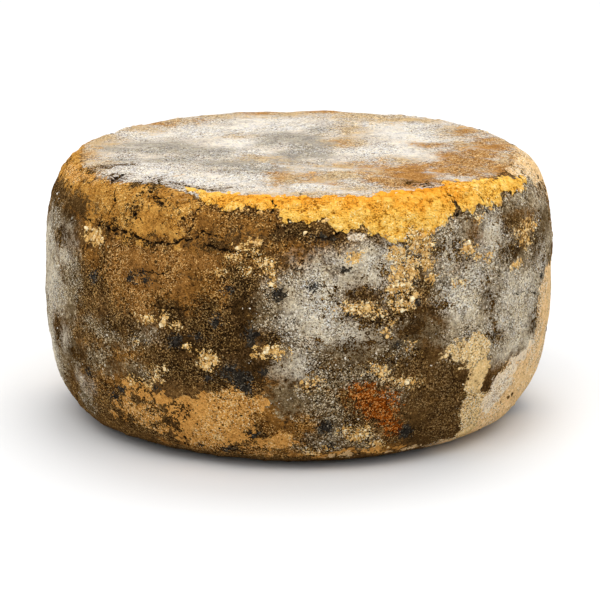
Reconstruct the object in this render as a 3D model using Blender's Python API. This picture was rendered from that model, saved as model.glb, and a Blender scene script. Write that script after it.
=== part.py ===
"""A whole aged cheese wheel with a natural rind, uncut, standing on its flat foot.

Metres, +Z up. The origin is the middle of the foot, and the front faces -Y.
The wheel is turned from one profile: a flat top, a squarish shoulder down to
the widest ring, and a rounder belly that tucks in under the wheel to a
smaller flat foot. Then it is made as uneven as a hand-turned cheese: it leans
a little, bulges and dips in long swells, and its top is not quite level.
"""

import math

import bmesh
import bpy

# Driving dimensions
WIDEST_RADIUS = 0.130
HEIGHT = 0.1340
WIDEST_RING_HEIGHT = 0.0690
TOP_FLAT_RADIUS = 0.105
FOOT_FLAT_RADIUS = 0.080

# How square each rounded stretch of the profile is, across and up. 2 and 2 are
# a quarter of an ellipse, and a belly that is squarer across leaves the foot low.
SHOULDER_SQUARENESS = (2.84, 2.84)
BELLY_SQUARENESS = (4.5, 1.9)

# Sideways shift towards +X for each metre of height above the widest ring
LEAN = 0.0115

# Long swells of the side: depth in metres, waves round the wheel, phase in
# degrees at the foot, and the turn of the phase in degrees from foot to top
SIDE_SWELLS = (
    (0.0006, 2, 20, 60),
    (0.0005, 3, 115, -40),
    (0.0003, 5, 70, 110),
)

# Long swells of the top face: depth in metres, waves across the whole wheel,
# and the direction they run in, in degrees from +X
TOP_SWELLS = (
    (0.0005, 1.1, 35),
    (0.0003, 2.3, 140),
)

# Fineness of the faceted solid
STEPS_ROUND = 80
SHOULDER_STEPS = 9
BELLY_STEPS = 12
TOP_RINGS = 4

# Touching points this close together are one point
WELD_DISTANCE = 0.00001

RIND_COLOUR = (0.28, 0.175, 0.087, 1.0)
RIND_ROUGHNESS = 0.85


def clear_scene():
    for old in list(bpy.data.objects):
        bpy.data.objects.remove(old, do_unlink=True)


def rounded(fraction, squareness):
    """How far out and how far up a superellipse's quarter is, each 0 to 1, a
    fraction of the way from its upright end to its level end."""
    across, up = squareness
    turn = fraction * math.pi / 2
    return max(math.cos(turn), 0.0) ** (2 / across), math.sin(turn) ** (2 / up)


def profile():
    """(radius, height) from the middle of the top, down the side, to the middle of the foot."""
    points = [(TOP_FLAT_RADIUS * ring / TOP_RINGS, HEIGHT) for ring in range(TOP_RINGS)]
    for step in range(SHOULDER_STEPS):
        out, up = rounded(1 - step / SHOULDER_STEPS, SHOULDER_SQUARENESS)
        radius = TOP_FLAT_RADIUS + (WIDEST_RADIUS - TOP_FLAT_RADIUS) * out
        height = WIDEST_RING_HEIGHT + (HEIGHT - WIDEST_RING_HEIGHT) * up
        points.append((radius, height))
    for step in range(BELLY_STEPS + 1):
        out, down = rounded(step / BELLY_STEPS, BELLY_SQUARENESS)
        radius = FOOT_FLAT_RADIUS + (WIDEST_RADIUS - FOOT_FLAT_RADIUS) * out
        points.append((radius, WIDEST_RING_HEIGHT * (1 - down)))
    points.append((0.0, 0.0))
    return points


def side_swell(angle, height):
    """How far the side stands out of the turned shape at this place."""
    total = 0.0
    for depth, waves, phase, turn in SIDE_SWELLS:
        total += depth * math.cos(waves * angle + math.radians(phase + turn * height / HEIGHT))
    return total


def top_swell(x, y):
    """How far the top stands above its level height at this place."""
    total = 0.0
    for depth, waves, heading in TOP_SWELLS:
        across = x * math.cos(math.radians(heading)) + y * math.sin(math.radians(heading))
        total += depth * math.sin(math.pi * waves * across / WIDEST_RADIUS)
    return total


def make_uneven(point):
    """Moves one point of the turned shape to its place on the real, uneven wheel."""
    share = min(math.hypot(point.x, point.y) / TOP_FLAT_RADIUS, 1.0)
    growth = 1 + share * side_swell(math.atan2(point.y, point.x), point.z) / WIDEST_RADIUS
    point.x *= growth
    point.y *= growth
    above_foot = point.z / HEIGHT
    point.z += top_swell(point.x, point.y) * above_foot**2
    point.x += LEAN * (point.z - WIDEST_RING_HEIGHT)


def turned_wheel():
    """The profile spun once round Z, as one closed mesh with its faces outward."""
    shape = bmesh.new()
    ring = [shape.verts.new((radius, 0.0, height)) for radius, height in profile()]
    edges = [shape.edges.new(pair) for pair in zip(ring, ring[1:])]
    bmesh.ops.spin(
        shape,
        geom=ring + edges,
        cent=(0, 0, 0),
        axis=(0, 0, 1),
        angle=math.tau,
        steps=STEPS_ROUND,
        use_merge=True,
    )
    bmesh.ops.remove_doubles(shape, verts=shape.verts, dist=WELD_DISTANCE)
    for vert in shape.verts:
        make_uneven(vert.co)
    bmesh.ops.recalc_face_normals(shape, faces=shape.faces)
    return shape


def rind_material():
    material = bpy.data.materials.new("natural_rind")
    material.use_nodes = True
    shader = material.node_tree.nodes["Principled BSDF"]
    shader.inputs["Base Color"].default_value = RIND_COLOUR
    shader.inputs["Roughness"].default_value = RIND_ROUGHNESS
    shader.inputs["Metallic"].default_value = 0.0
    material.diffuse_color = RIND_COLOUR
    return material


def cheese_wheel():
    mesh = bpy.data.meshes.new("cheese_wheel")
    shape = turned_wheel()
    shape.to_mesh(mesh)
    shape.free()
    mesh.shade_smooth()
    mesh.materials.append(rind_material())
    wheel = bpy.data.objects.new("cheese_wheel", mesh)
    bpy.context.scene.collection.objects.link(wheel)


clear_scene()
cheese_wheel()
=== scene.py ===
"""An aged cheese wheel under a cracked, mouldy natural rind, on a plain pale floor.

The rind is one closed mesh. A Geometry Nodes tree turns it from the wheel's
profile, the crusts and moulds are painted on it as attributes, and a second
tree raises and sinks it by them. Loose crumbs and spots of mould are
scattered over it as pieces of their own. Metres, +Z up, front towards -Y.

A place on the side is a bearing and a climb. The bearing is in degrees from
the front, growing towards +X. The climb is in hundredths of the way up the
side, from its turn at the bottom to the edge of the top, and below 0 under
the wheel. A place on the top is x and y in hundredths of the widest radius.
"""

import math
import random

import bpy
import numpy as np
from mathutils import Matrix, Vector


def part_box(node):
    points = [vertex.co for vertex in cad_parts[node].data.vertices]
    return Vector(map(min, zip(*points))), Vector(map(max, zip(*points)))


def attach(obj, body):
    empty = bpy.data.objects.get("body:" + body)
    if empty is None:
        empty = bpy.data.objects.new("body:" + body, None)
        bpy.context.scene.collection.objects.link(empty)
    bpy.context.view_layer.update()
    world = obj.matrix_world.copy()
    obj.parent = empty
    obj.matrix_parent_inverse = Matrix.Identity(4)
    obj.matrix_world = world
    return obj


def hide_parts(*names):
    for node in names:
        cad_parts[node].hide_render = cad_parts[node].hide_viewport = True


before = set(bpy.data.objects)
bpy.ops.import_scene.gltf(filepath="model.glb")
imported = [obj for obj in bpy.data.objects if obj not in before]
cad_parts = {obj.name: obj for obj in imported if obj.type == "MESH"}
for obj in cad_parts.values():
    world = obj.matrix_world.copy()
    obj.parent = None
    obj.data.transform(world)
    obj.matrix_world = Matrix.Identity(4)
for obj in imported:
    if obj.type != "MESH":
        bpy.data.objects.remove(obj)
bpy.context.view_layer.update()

# ---------------------------------------------------------------- sizes

wheel_low, wheel_high = (Vector(corner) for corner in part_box("cheese_wheel"))
WIDEST_RADIUS = (wheel_high.x - wheel_low.x + wheel_high.y - wheel_low.y) / 4
HEIGHT = 1.0308 * WIDEST_RADIUS
WIDEST_RING_HEIGHT = 0.5308 * WIDEST_RADIUS
TOP_FLAT_RADIUS = 0.8077 * WIDEST_RADIUS
FOOT_FLAT_RADIUS = 0.6154 * WIDEST_RADIUS
SIDE_LENGTH = 1.184 * WIDEST_RADIUS  # along the side, from its turn at the bottom to the top's edge
TUCK_LENGTH = 0.195 * WIDEST_RADIUS  # under the wheel, from the flat foot's edge to that turn
LEAN = 0.0115  # towards +X, for each unit of height

# How square each rounded stretch of the profile is, across and up: 2 is an ellipse's
SHOULDER_SQUARENESS = (2.84, 2.84)
BELLY_SQUARENESS = (4.5, 1.9)

# Long swells of the side: depth in metres, waves round the wheel, phase in
# degrees at the foot, and the turn of the phase in degrees from foot to top
SIDE_SWELLS = (
    (0.0006, 2, 20, 60),
    (0.0005, 3, 115, -40),
    (0.0003, 5, 70, 110),
)

# Long swells of the top: depth in metres, waves across, heading in degrees from +X
TOP_SWELLS = (
    (0.0005, 1.1, 35),
    (0.0003, 2.3, 140),
)

STEPS_ACROSS = 150
STEPS_UP = 122
TUCK_STEPS = 0.06  # share of the steps up that lie under the wheel
PROFILE_POINTS = 401
WELD_DISTANCE = 0.00001

MM = 0.001
ROUND_MM = math.radians(1) * WIDEST_RADIUS / MM  # one degree of bearing
CLIMB_MM = SIDE_LENGTH / MM / 100  # one hundredth of the way up the side
TOP_MM = WIDEST_RADIUS / MM / 100  # one hundredth of the widest radius
PATCH_REACH = 12.0  # mm: how far from its edge a painted patch is known

# ---------------------------------------------------------------- what grows where, and the shade painted round the foot
# On the side: (bearing, climb, half width in degrees, half height in climb).
# On the top: (x, y, half width, half depth), all in hundredths of the radius.

SIDE_PATCHES = {
    "ochre_stain": (
        (-22, 85, 10, 7), (-12, 86, 6, 4), (-22, 73, 8, 7), (-25, 62, 9, 7), (-17, 66, 4, 6),
        (-38, 60, 8, 3.5), (-34, 53, 3, 2.5), (-49, 67, 5, 6), (-18.5, 53, 2, 3), (-56, 38, 2, 2),
        (-45, 29, 5, 2), (-50, 26, 3, 2.5), (-38, 47, 3, 2.5), (-7, 25, 4, 8), (-3, 16, 6, 5),
        (1, 27, 3, 5), (-11, 76, 6, 5), (-8, 86, 7, 4), (-3, 81, 3, 1.5), (23, 35, 3.5, 1.8),
        (11, 75.5, 2, 1.2), (57, 74, 7, 5), (55, 66, 5, 4), (-66, 84, 6, 3), (12, 76, 3, 2.5),
        (80, 76, 6, 6), (26, 72, 5, 6), (44, 76, 4, 4), (33, 66, 3, 4), (41, 82, 6, 3), (36, 79, 3, 2.5),
        (50, 76, 4, 3), (24, 34, 3, 2), (-7, 36, 3, 3), (56, 81, 6, 3), (20, 12, 6, 3), (-39, 40, 5, 2),
        (-52, 80, 8, 5), (-62, 81, 7, 4), (-42, 76, 8, 5), (-30, 78, 8, 4), (-2, 78, 6, 4),
        (64, 79, 7, 4), (38, 77, 4, 3), (-10, 35, 6, 4), (3, 22, 6, 5), (7, 30, 4, 4), (-8, 20, 5, 8),
        (13, 68, 3, 2),
    ),
    "ochre_crust": (
        (-50, 87, 14, 9), (-38, 87, 12, 10), (-30, 88.5, 6, 5), (-33, 82.5, 7, 5), (-72, 90, 14, 5),
        (-84, 90, 10, 5), (-100, 91, 12, 6), (-118, 92, 10, 6),
    ),
    "brown_crust": (
        (-40, 73, 8, 5), (-35, 71, 8, 6), (-42, 67, 5, 5), (-38, 63, 7, 4), (-24, 74, 7, 4),
        (-28, 65, 4, 5), (-36, 56, 5, 3), (-14, 8.5, 12, 2),
    ),
    "ash_mould": (
        (-59, 60, 4, 7), (-60, 52, 4, 7), (-62, 34, 7, 7), (-76, 22, 7, 9), (-60, 16, 4, 5),
        (-74, 78, 8, 5), (-64, 76, 6, 4), (-2, 64, 5, 6), (-4, 60, 5, 6), (-1, 52, 4, 6), (2, 44, 8, 6),
        (12, 47, 14, 7), (10, 39, 12, 6), (20, 45, 8, 8), (4, 29, 6, 6), (8, 21, 5, 6), (6, 14, 6, 4),
        (-1, 31, 5, 5), (14, 52, 10, 4), (28, 50, 5, 4), (34, 78, 5, 6), (45, 81, 6, 4), (50, 71, 8, 7),
        (62, 84, 8, 4), (70, 72, 7, 6), (60, 46, 6, 8), (33, 62, 4, 6), (46, 50, 14, 14),
        (44, 62, 12, 10), (40, 72, 6, 4), (24, 72, 5, 6), (-36, 34, 3.5, 2.5), (-36, 46, 4, 3),
        (24, 54, 4, 4), (57, 60, 8, 12), (-72, 27, 9, 7), (69, 70, 9, 8), (74, 77, 6, 5), (42, 84, 8, 4),
        (58, 84, 6, 3), (-8, 60, 4, 6), (22, 30, 4, 3), (16, 14, 5, 4), (72, 66, 6, 9), (52, 84, 8, 3),
        (33, 77, 4, 4), (32, 37, 4, 3), (37, 19, 2.5, 4), (-48, 46, 7, 2.5), (-50, 35, 5, 4),
        (-44, 45, 4, 4), (-14, 41.5, 3.4, 2),
    ),
    "dark_mould": (
        (-13, 50, 5, 8), (-20, 50, 5, 5), (-12, 58, 3, 5), (-16, 38, 5, 5), (-11, 38, 4, 5),
        (-25, 47, 6, 5), (-27, 39, 6, 5), (-12, 66, 2.5, 3), (-9, 75.5, 2.5, 2.5), (-13, 72, 2, 2.2),
        (-29, 56, 4, 4), (-27, 52, 3, 2.5), (-20, 54, 3, 3), (-44, 15, 3, 1.6), (-1, 83.5, 4, 1.4),
        (5, 82.5, 2.5, 1.3), (-46, 78, 2, 0.8), (-39, 77.5, 2, 0.8), (-17, 78, 3, 1.6), (-50, 61, 2, 1.6),
        (-47, 68, 1.2, 3), (-21, 46, 6, 5), (-69, 38, 2.5, 3.5), (-59, 33, 3, 2.5), (-63, 78, 4, 1.8),
        (-20, 58, 3, 4), (-6, 50, 2.5, 2.5), (-12, 46.5, 5, 4), (-42, 48, 5, 2), (14, 56.6, 4, 1.5),
        (36, 74, 1.5, 1.5), (23, 70, 1, 1.6), (26.5, 69.5, 1, 1), (24, 75, 1, 0.8), (20.4, 63, 1, 1.4),
        (27, 65.5, 1.2, 2), (22.6, 77.6, 1, 0.8), (19, 70, 0.7, 1.6), (29, 74.5, 1, 1),
        (23.5, 62.5, 0.9, 0.8), (36, 30, 1.6, 3), (-66, 71, 3, 2), (-31, 17, 1.8, 3.5),
        (-34, 22, 1.5, 1.2), (-28, 22, 1.5, 1.5), (-36, 15, 2, 1.2), (-10, 17, 1.2, 1.5),
        (-17, 9.5, 1.5, 1.2), (2.5, 11, 1, 3), (12.5, 64.5, 4.5, 1.1), (8, 62, 1.2, 1.2),
        (17, 54, 4, 1.6), (22, 59, 3.5, 4), (25, 51, 2, 3), (26, 44, 2, 2), (16, 48, 6, 1.2),
        (-11.5, 47.5, 3.5, 4.5), (20, 42.5, 4, 2), (5, 41, 2, 2), (26, 15, 2, 3.5), (12, 22, 2, 3),
        (11, 29, 1.5, 2), (31, 77, 1.2, 1.2), (37, 75, 1.6, 1.6), (29.5, 57, 2, 2.5), (64, 69, 2, 1.4),
        (63, 44, 1.6, 3.5), (67, 76, 2, 1.5), (45.5, 27, 1.6, 1.8), (49, 30.5, 1.8, 1.0), (-46, 24, 3, 2),
        (-37, 31, 3, 2), (-8, 43, 2.5, 2), (66, 63, 2, 1.5), (-40, 85, 1, 3), (-33, 90, 2, 1.2),
        (-37, 94, 1.8, 2.2), (-55, 96, 2, 1.5), (47, 43, 2, 2), (53, 71, 3, 3), (44.5, 56, 0.8, 3),
        (36, 74, 2, 2),
    ),
    "brown_mould": (
        (31, 30, 8, 9), (30, 18, 10, 9), (36, 11, 6, 6), (26, 40, 5, 5), (-64, 82, 10, 3),
        # the last two ovals on the next line, low round the foot, are painted shade where the wheel meets
        # the floor, and they come round the back as well
        (-76, 82, 8, 4), (53, 79, 4, 2.5), (-30, 41, 4, 3), (-40, -1, 30, 6), (0, -1, 30, 6),
    ),
    "grey_mould": (
        (-33, 48.5, 1.6, 1.6), (-69, 73, 4, 2.5), (-78, 30, 6, 12), (-76, 58, 8, 14), (-69, 57, 5, 9),
        (-67, 50, 6, 7), (-76, 38, 6, 10), (-78, 24, 5, 6), (14, 74, 6, 4), (34, 71, 3, 4),
        (67, 60, 3, 6), (15, 70, 7, 3.5), (5, 62, 5, 8), (2, 54, 7, 5), (12, 52, 4, 2), (-1, 41, 4, 3),
        (-2, 66, 3, 4), (3, 46.5, 4, 1.8), (36, 59, 5, 7), (40, 67, 5, 4), (36, 50, 4, 4), (40, 52, 6, 4),
        (54, 50, 6, 8), (70, 67, 5, 2.5), (55, 60, 6, 4), (52, 41, 6, 5), (47.5, 77, 3, 2.5),
        (34, 80, 4, 3), (58, 38, 6, 3), (24, 79, 4, 3), (64, 60, 3, 4), (66, 87, 8, 2.5), (6, 13, 2, 2),
        (62, 52, 4, 5), (-88, 50, 8, 20), (74, 67, 5, 2.5), (70, 80, 5, 3), (-76, 27, 6, 4),
    ),
    "white_bloom": (
        (-79, 64, 4, 8), (-74, 66, 2.5, 3), (-70, 56, 4, 5), (-64, 66, 2, 1.6), (-74, 50, 6, 5),
        (-63, 70, 1.5, 1.5), (-65, 37, 1.5, 2), (-78, 30, 6, 9), (4, 68, 3, 2), (19.5, 65, 1, 4),
        (16.5, 75, 3, 2.5), (17.5, 71, 3, 3), (9, 70, 4, 2.5), (5, 67, 4.5, 4), (2.5, 60, 4, 5),
        (5, 57, 5, 7), (7, 52, 5, 3), (4, 63, 4, 4), (1, 57, 3, 4), (8, 68, 4, 2), (6, 69, 4, 2.5),
        (0, 41.5, 2, 2), (35, 60, 4, 6), (39, 66, 4, 2.5), (44, 73, 4, 2), (37, 57, 2, 2), (53, 55, 5, 3),
        (50, 48, 4, 2), (58, 58, 3, 3), (56, 44, 4, 2), (61, 38, 4, 1.5), (60, 50, 2, 3), (47, 79, 2, 2),
        (54, 38, 4, 2), (52, 61, 2.4, 2), (45, 58, 1.5, 4), (46, 78.5, 3, 3.4), (26, 76, 1, 1),
        (66, 62, 2, 3), (-58, 24.5, 1.4, 1.1), (20, 74, 2, 5), (12, 74, 4, 2), (34, 74, 1.5, 3),
        (34, 66, 1.5, 4),
    ),
    "blue_mould": (
        (-38.7, 65, 1.2, 1), (-36, 67.5, 0.9, 0.7), (-34.5, 65, 1.1, 0.8), (-15, 65, 1, 1.2),
        (-4.5, 64.5, 1.3, 1.8), (3, 66.7, 1, 1.3), (9.5, 71.5, 0.7, 0.6), (-1.2, 55.5, 0.7, 0.6),
        (10.5, 58, 0.6, 1.8), (24.8, 65.7, 1.1, 1.1), (25.2, 60.3, 1.4, 1.7), (-17.5, 55, 1, 1.5),
        (-12.4, 37, 2.4, 2.6), (-14.5, 39.5, 2.2, 1.4), (-11.6, 34, 1.6, 2), (-15.5, 37.5, 1.4, 1),
        (-46, 23.5, 1.5, 1.5), (-43, 26.5, 1.3, 1.2), (-54.5, 29, 1, 1.2), (-10.3, 16.5, 0.8, 1.2),
        (-17, 9.5, 1.5, 1), (-24, 9.3, 0.8, 0.8), (17, 57.5, 1.1, 1.2), (5, 81.5, 1.8, 0.8),
        (-50.5, 62, 1.6, 1.8), (21, 47, 1, 1), (25, 16, 1.8, 2.6), (-22, 49, 1.2, 1), (-8, 39, 1, 1.2),
        (-27, 47, 1.6, 2), (-37, 31, 1.2, 1), (-33, 30, 1, 0.9), (-20, 36, 1.2, 1.6), (6, 20, 1.6, 2.4),
        (7, 12, 1.6, 2), (-10, 51, 1.5, 3), (66.5, 57.5, 0.8, 1.2),
    ),
    "rust": (
        (14.5, 30, 3, 4), (17.5, 27, 3.5, 5), (20, 22, 2.5, 3.5), (13, 33, 1.5, 1.5), (22, 18, 1.5, 2),
    ),
    "bare_tan": (
        (-18, 21, 8, 10), (-25, 22, 6, 7), (-15, 30, 4, 4), (-22, 13, 10, 4), (-32, 27, 3.5, 2.5),
        (-37, 20, 5, 4), (-37.5, 27.5, 3.5, 3), (-43, 21, 4, 3), (-46, 15, 3, 2), (-36, 16, 5, 4),
        (-5, 14, 5, 3.5), (-9, 29, 2, 3), (10, 8, 12, 1.5), (-76, 90.5, 9, 2.6), (-66, 91.5, 5, 1.6),
        (-39, 28.5, 3, 2),
    ),
    "pale_tan": (
        (78, 93, 12, 6), (90, 92, 12, 7), (88, 84, 8, 9), (90, 70, 9, 14), (48, 3, 14, 5), (62, 3, 14, 5),
        (56, 24, 8, 9), (66, 24, 10, 12), (58, 12, 14, 9), (71, 42, 6.5, 15), (78, 48, 8, 12),
        (50, 12, 6, 9), (74, 20, 10, 16), (86, 40, 9, 20), (72, 56, 3, 3.5), (94, 26, 10, 14),
        (30, 6, 12, 1.2), (104, 90, 10, 5), (110, 32, 9, 6), (100, 12, 12, 5),
    ),
    "cream_patch": (
        (39, 42, 6, 4), (35.5, 42, 3, 2.5), (42.3, 40.5, 2.8, 4), (42.5, 34, 3, 4), (42, 29, 2.8, 5),
        (42, 23, 2.8, 6), (44, 18, 4, 7), (45, 10, 3.5, 8), (40, 36.5, 2, 1.5), (40, 46, 1.5, 1),
        (21.4, 74.4, 1.8, 1.7), (26.4, 78.6, 2.4, 1.7), (21.6, 68.6, 1.6, 1.7), (24.6, 71.6, 1.3, 1.5),
    ),
    "pink_bloom": (
        (51, 27, 3.5, 3.5), (50, 21, 4, 3.5), (49.5, 17, 2, 2), (54, 24, 3, 3), (57, 33, 4, 2),
        (63, 36, 3, 1.5), (55, 30, 3, 2), (60, 32.5, 4, 1.6), (12.5, 81.6, 2.0, 1.4),
    ),
    "gold_flecks": (
        (-9, 80, 0.9, 0.8), (-12.5, 78, 1.1, 0.8), (-14, 75.5, 1, 0.8), (-8, 74, 1, 1),
        (-11, 71, 1.1, 0.9), (-6, 73, 0.7, 1.5), (-5.5, 69, 0.7, 1.4), (-17, 70, 0.8, 0.7),
        (-9, 77, 0.6, 0.6), (-6, 46.5, 1.6, 1.2), (-8.5, 45, 0.8, 0.6), (-4, 45.5, 1.2, 1),
        (-19.5, 42.6, 2, 2.1), (-20.5, 40, 1, 1.2), (22, 72, 1.5, 2), (11.5, 75.5, 1.2, 1.2),
        (21, 76, 1.5, 1.6), (23, 66, 1.4, 1.6), (26, 81, 1.8, 1.4), (43, 83, 1, 0.8), (56, 75, 1.2, 0.8),
        (21, 68, 1.2, 2), (22, 64, 1.2, 1.5), (27, 77.5, 2.8, 2.8), (24.5, 73, 1.4, 1.4),
        (28, 72, 1.6, 2), (20, 66, 1.2, 3), (24, 69, 1.5, 2), (29, 67, 1, 1.5), (22, 60, 2.5, 1.5),
        (25, 62, 1.2, 1), (12, 59.5, 3, 1.6), (15.5, 57.8, 2, 1.2), (17, 39.5, 1.5, 1.2),
        (18, 37.5, 0.8, 0.8), (3, 36.5, 1.2, 1), (1.5, 35, 1, 0.8), (18.5, 51.5, 1, 1),
        (19, 54, 0.6, 0.6), (13.5, 16, 2.5, 2), (15, 19, 1, 1), (10.5, 18.5, 1, 1), (6, 11, 1, 0.8),
        (3, 9, 1.5, 0.8), (-51.5, 74.5, 3.2, 2.4), (-54, 76, 1, 1), (-30, 53.5, 0.8, 1.2),
        (-34, 53, 1.2, 1), (61, 75.5, 2.5, 1.4), (57, 72, 1.5, 1), (54, 65, 1.5, 1), (60, 71, 1, 1),
        (23, 34.5, 1.8, 1), (-40, 31, 1.2, 1), (39, 74, 1.5, 1.5), (41, 71, 1, 1), (18, 12, 1.5, 1),
        (-27, 52, 0.8, 0.8), (44, 70, 1, 0.8), (24, 46, 0.8, 0.6), (-37, 44, 0.6, 0.6),
        (-24, 46, 0.5, 0.5), (-30, 37, 0.6, 0.6), (36, 64, 0.8, 0.6), (-36, 31, 1.2, 0.8),
        (-33, 33.5, 0.7, 0.6),
    ),
}

TOP_PATCHES = {
    "grey_mould": (
        (-62, 15, 13, 8), (-54, 6, 10, 12), (-40, -2, 13, 7), (-34, -9, 12, 6), (-12, 18, 6, 12),
        (-2, 24, 12, 9), (3, 12, 10, 12), (2, -6, 11, 12), (-2, -22, 14, 7), (-28, -24, 14, 8),
        (-46, -16, 10, 6), (-16, -34, 14, 6), (-75, 5, 8, 8), (-70, -15, 6, 8), (8, 40, 5, 6),
    ),
    "white_bloom": (
        (-52, 36, 18, 10), (-27, 14, 7, 11), (-17, -7, 9, 6), (-62, -26, 14, 7), (-28, -52, 24, 12),
        (-58, -42, 12, 7), (-12, 46, 20, 12), (46, 30, 14, 13), (48, 14, 12, 10), (34, 0, 18, 7),
        (48, -6, 10, 5), (38, 50, 14, 8), (4, -64, 18, 7), (16, -36, 6, 3), (-10, 62, 14, 6),
        (10, -75, 22, 4), (-40, 44, 12, 8), (-14, -68, 10, 4), (-8, -24, 5, 3),
    ),
    "tan_film": (
        (20, 16, 7, 8), (20, 42, 4, 8), (-11, -15, 6, 4), (0, 79, 16, 7), (-54, 60, 12, 8),
        (-66, 46, 7, 8), (-85, -5, 6, 18), (-80, 24, 6, 12), (46, 60, 16, 6), (66, 40, 8, 14),
        (28, 72, 16, 6), (-28, 74, 14, 6), (22, -26, 10, 5), (30, -38, 10, 8), (14, -48, 12, 8),
        (-4, -48, 6, 8), (-24, 28, 4, 4), (54, 10, 6, 3), (84, 20, 6, 16), (40, -20, 8, 6),
        (-78, -34, 6, 10), (64, 4, 6, 10), (24, -66, 8, 5), (82, -12, 7, 10), (74, -34, 9, 10),
        (-8, -80, 10, 2), (16, -80, 12, 2.4), (34, -74, 8, 3),
    ),
    "toasted": (
        (36, -60, 9, 8), (30, -54, 6, 7), (46, -50, 12, 11), (56, -38, 11, 12), (62, -24, 10, 12),
        (70, -10, 9, 14), (76, 6, 8, 14), (74, 20, 6, 8), (84, -24, 5, 14), (76, -36, 7, 10),
        (-60, 56, 6, 4), (-48, 64, 6, 3), (-14, 80, 6, 3), (12, 80, 7, 3), (-86, -8, 3, 8),
        (68, 44, 3, 7), (20, 12, 3, 3), (28, -30, 6, 4), (38, -36, 8, 6), (46, -30, 8, 6),
        (26, -44, 4, 4), (62, -44, 8, 8), (52, -58, 7, 6), (68, -22, 8, 9), (72, 14, 7, 9),
        (44, -58, 7, 6), (36, -46, 8, 7), (44, -40, 9, 8), (52, -28, 8, 8), (60, -12, 6, 8),
        (70, -54, 8, 8), (77, -46, 7, 8), (60, -64, 8, 5), (54, -68, 5, 3), (20, -22, 4, 2),
        (-8, -52, 2, 6), (6, -46, 2, 4), (12, -60, 3, 3), (56, 9, 4, 1.5), (-80, -30, 3, 6),
    ),
    "orange_glow": ((8, -84, 30, 5), (38, -78, 14, 7), (50, -71, 12, 9)),
    "dark_mould": (
        (-69, -50, 2.2, 3), (-53, -71, 2.4, 6), (-54, -61, 2.6, 3), (-46, -60, 2, 2.2),
        (-40, -66, 3.2, 1.8), (-33, -69, 3, 1.5), (-62, -60, 2, 2), (48, -64, 1.6, 3),
        (41, -62, 0.8, 1.2), (-70, -29, 3.4, 1.2), (-76, -34, 2.4, 1.4), (-53, -50, 1.2, 1.6),
    ),
}

# The golden crust hangs over the shoulder. Its lower edge: (bearing, climb)
GOLDEN_EDGE = (
    (-180, 80), (-164, 84), (-150, 81), (-136, 86), (-120, 91), (-106, 108), (-34, 108), (-30, 98),
    (-25.5, 95), (-22, 91.5), (-16, 90.3), (-9, 90), (-5, 90.5), (-3.5, 86.5), (0, 86.5), (2, 84),
    (3.5, 87), (6, 87), (7.5, 84), (14, 83.8), (18, 82), (21, 79), (26, 78.5), (30, 80.5), (33, 83),
    (37, 85), (38, 90), (39, 86), (44, 86.5), (46, 85), (50, 85.5), (55, 88), (61, 87), (66, 88.5),
    (70, 92), (73, 97), (80, 108), (104, 108), (118, 90), (132, 84), (150, 85), (166, 81), (180, 80),
)
# and how far from the centre it starts on the top: (bearing, share of the radius)
GOLDEN_START = (
    (-180, 90), (-100, 92), (-60, 92), (-38, 86), (-30, 80), (-20, 80), (-10, 82), (6, 84), (14, 85),
    (22, 84), (34, 81.5), (42, 82), (48, 84.5), (56, 88), (70, 92), (82, 92), (100, 92), (180, 90),
)
# The lower edge of the film of mould on the top: (bearing, climb)
FILM_EDGE = (
    (-180, 88), (-130, 89), (-112, 92), (-96, 95.5), (-84, 96), (-60, 94), (-52, 93.5), (-45, 96),
    (-38, 98), (-30, 97), (-24, 95), (40, 95), (58, 95), (70, 97), (84, 97), (104, 95), (120, 90),
    (140, 88), (180, 88),
)

# Cracks in the crust: each a strength and its places along the side
SIDE_CRACKS = (
    (0.8, ((-57, 79.5), (-53, 78.3), (-49.5, 79.2), (-46, 78), (-44, 77.2), (-40.5, 79), (-37, 77.6),
           (-34, 76.6), (-31, 77.6), (-28, 77))),
    (0.9, ((-28, 77), (-26.5, 79.4), (-24, 80.2), (-21, 82), (-18, 81.5))),
    (0.7, ((-48, 79), (-46, 80), (-43, 78.5))),
    (0.8, ((-41, 82.5), (-39.5, 85), (-38, 83.5))),
    (1.0, ((-38, 93), (-34.5, 91), (-32, 88.5))),
    (0.8, ((-19.5, 78.4), (-16, 77), (-14, 77.2))),
    (0.6, ((-37, 67.5), (-34, 67.5), (-31, 68))),
    (0.8, ((-6.5, 96), (-5.8, 92), (-6.2, 89))),
    (0.9, ((3.5, 82), (5, 81.5), (7, 82), (9, 83))),
    (0.9, ((37.6, 92), (38, 88), (37.5, 85))),
    (0.7, ((45.5, 88), (46, 85))),
    (0.5, ((-22, 93), (-24.5, 88), (-24, 84), (-25.5, 80))),
    (0.5, ((-49, 90), (-47, 86), (-48, 82))),
    (0.6, ((24, 45), (27, 44.5))),
    (0.6, ((-29, 57), (-25, 57.5))),
    (0.5, ((53, 56), (58, 55), (62, 53))),
)
TOP_CRACKS = (
    (1.0, ((-78, -35), (-71, -30), (-66, -29))),
    (1.0, ((-70, -52), (-67, -47))),
    (1.0, ((-53, -76), (-54, -66), (-52, -58), (-56, -50))),
    (0.8, ((-47, -59), (-42, -64), (-37, -69), (-31, -69))),
    (0.6, ((50, 10), (54, 8), (59, 6))),
    (0.5, ((44, -66), (48, -60))),
    (0.5, ((0, -84), (1, -76))),
)

# ---------------------------------------------------------------- colours


def linear(red, green, blue):
    """A colour of 0 to 255 values as the shaders want it."""
    tones = (value / 255 for value in (red, green, blue))
    spread = [tone / 12.92 if tone <= 0.04045 else ((tone + 0.055) / 1.055) ** 2.4 for tone in tones]
    return (*spread, 1.0)


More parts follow.
